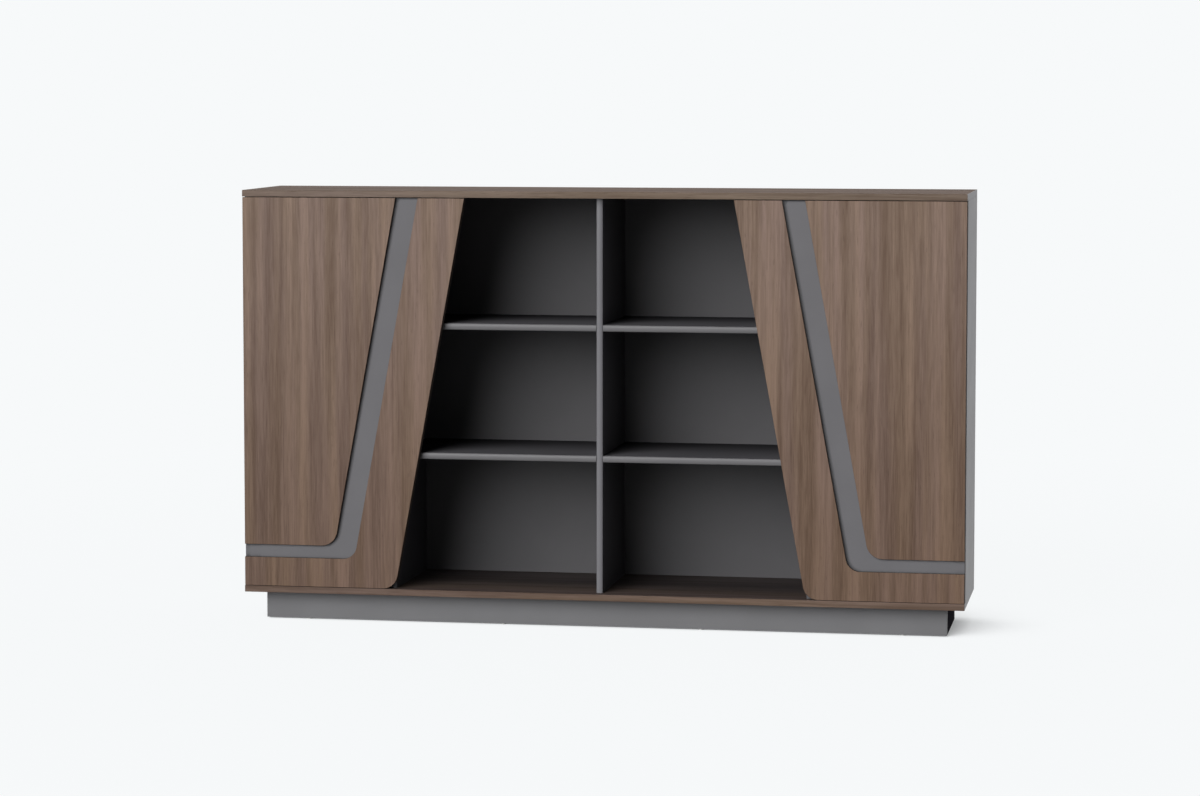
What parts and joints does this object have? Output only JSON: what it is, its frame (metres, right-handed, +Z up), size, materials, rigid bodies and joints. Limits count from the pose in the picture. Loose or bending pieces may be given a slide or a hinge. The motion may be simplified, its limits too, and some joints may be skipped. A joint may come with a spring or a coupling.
{
  "type": "office credenza",
  "caption": "Wide low office cabinet with open shelf bays between hinged cupboards whose mirrored doors have slanted free edges, on a recessed plinth.",
  "frame": {"origin": "on the floor, under the middle of the cabinet", "axes": "+X along the width to the right as seen from the front, +Y from the front to the back, +Z up"},
  "size_m": [2, 0.4, 1.2],
  "materials": {
    "walnut_laminate": "matt walnut-grain laminate",
    "grey_laminate": "matt grey laminate",
    "back_board": "matt grey back board",
    "plinth_laminate": "matt grey laminate",
    "beech": "fluted beech dowel",
    "zinc": "zinc plated",
    "nickel": "nickel plated",
    "glide_plastic": "black plastic",
    "bumper_rubber": "clear soft polymer"
  },
  "bodies": {
    "carcass": {"top_panel": "walnut_laminate", "bottom_panel": "walnut_laminate", "left_side_panel": "grey_laminate", "right_side_panel": "grey_laminate", "left_partition": "grey_laminate", "right_partition": "grey_laminate", "centre_divider": "grey_laminate", "left_bay_lower_shelf": "grey_laminate", "left_bay_upper_shelf": "grey_laminate", "right_bay_lower_shelf": "grey_laminate", "right_bay_upper_shelf": "grey_laminate", "left_cupboard_lower_shelf": "grey_laminate", "left_cupboard_upper_shelf": "grey_laminate", "right_cupboard_lower_shelf": "grey_laminate", "right_cupboard_upper_shelf": "grey_laminate", "left_cupboard_back": "back_board", "left_bay_back": "back_board", "right_bay_back": "back_board", "right_cupboard_back": "back_board", "plinth_front_rail": "plinth_laminate", "plinth_back_rail": "plinth_laminate", "plinth_left_rail": "plinth_laminate", "plinth_left_brace": "plinth_laminate", "plinth_centre_brace": "plinth_laminate", "plinth_right_brace": "plinth_laminate", "plinth_right_rail": "plinth_laminate", "dowels": "beech", "shelf_dowels": "beech", "cam_bolts": "zinc", "cam_locks": "zinc", "plinth_brackets": "zinc", "left_shelf_supports": "nickel", "right_shelf_supports": "nickel", "plinth_bracket_screws": "zinc", "left_hinge_arms": "nickel", "left_hinge_plates": "nickel", "left_hinge_mount_screws": "nickel", "right_hinge_arms": "nickel", "right_hinge_plates": "nickel", "right_hinge_mount_screws": "nickel", "floor_glides": "glide_plastic"},
    "left_door": {"left_door_base": "grey_laminate", "left_surround_panel": "walnut_laminate", "left_main_panel": "walnut_laminate", "left_facing_screws": "zinc", "left_hinge_cups": "nickel", "left_hinge_pins": "nickel", "left_cup_screws": "nickel", "left_door_bumpers": "bumper_rubber"},
    "right_door": {"right_door_base": "grey_laminate", "right_surround_panel": "walnut_laminate", "right_main_panel": "walnut_laminate", "right_facing_screws": "zinc", "right_hinge_cups": "nickel", "right_hinge_pins": "nickel", "right_cup_screws": "nickel", "right_door_bumpers": "bumper_rubber"}
  },
  "joints": [
    {"name": "left_door_hinge", "type": "hinge", "parent": "carcass", "child": "left_door", "pos_m": [-0.992, -0.183, 0.64], "axis": [0, 0, -1], "range_deg": [0, 95]},
    {"name": "right_door_hinge", "type": "hinge", "parent": "carcass", "child": "right_door", "pos_m": [0.992, -0.183, 0.64], "axis": [0, 0, 1], "range_deg": [0, 95]}
  ]
}
